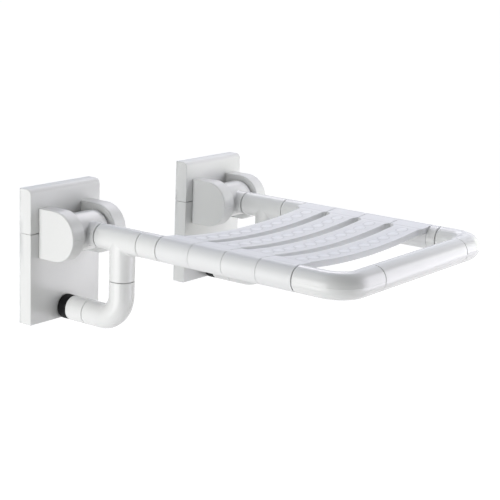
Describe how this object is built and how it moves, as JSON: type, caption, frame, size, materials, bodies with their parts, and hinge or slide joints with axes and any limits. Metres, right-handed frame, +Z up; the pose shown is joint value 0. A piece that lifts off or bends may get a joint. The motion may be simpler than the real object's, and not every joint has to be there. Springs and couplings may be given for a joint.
{
  "type": "fold-up shower seat",
  "caption": "Wall-hung shower seat: a U-shaped tube frame in white nylon sleeves with curved slats, folding up on two wall brackets with ear-shaped hinges.",
  "frame": {"origin": "on the wall plane, half way between the two brackets, at the middle of the covers' height", "axes": "+Z up, +Y into the wall, so the seat reaches out along -Y; +X to the right of someone facing the wall"},
  "size_m": [0.466, 0.5, 0.1915],
  "materials": {
    "nylon": "white satin nylon",
    "steel": "plain stainless steel",
    "bearing_plastic": "natural bearing plastic",
    "rubber": "black rubber"
  },
  "bodies": {
    "wall_brackets": {"left_wall_plate": "steel", "left_upper_cover": "nylon", "left_lower_cover": "nylon", "left_ear_caps": "nylon", "left_hinge_pin": "steel", "left_hinge_nut": "steel", "left_thrust_washers": "steel", "right_wall_plate": "steel", "right_upper_cover": "nylon", "right_lower_cover": "nylon", "right_ear_caps": "nylon", "right_hinge_pin": "steel", "right_hinge_nut": "steel", "right_thrust_washers": "steel"},
    "seat_frame": {"steel_frame": "steel", "left_hinge_bushes": "bearing_plastic", "left_knuckle": "nylon", "left_tee_sleeve": "nylon", "left_spacer_sleeve": "nylon", "left_corner_elbow": "nylon", "left_leg_elbow": "nylon", "left_foot_sleeve": "nylon", "left_bumper": "rubber", "right_hinge_bushes": "bearing_plastic", "right_knuckle": "nylon", "right_tee_sleeve": "nylon", "right_spacer_sleeve": "nylon", "right_corner_elbow": "nylon", "right_leg_elbow": "nylon", "right_foot_sleeve": "nylon", "right_bumper": "rubber", "slat_1": "nylon", "slat_2": "nylon", "slat_3": "nylon", "slat_4": "nylon", "right_spacer_ring": "nylon", "front_sleeve": "nylon"}
  },
  "joints": [
    {"name": "seat_fold", "type": "hinge", "parent": "wall_brackets", "child": "seat_frame", "pos_m": [0, -0.0505, 0.033], "axis": [-1, 0, 0], "range_deg": [0, 90]}
  ]
}
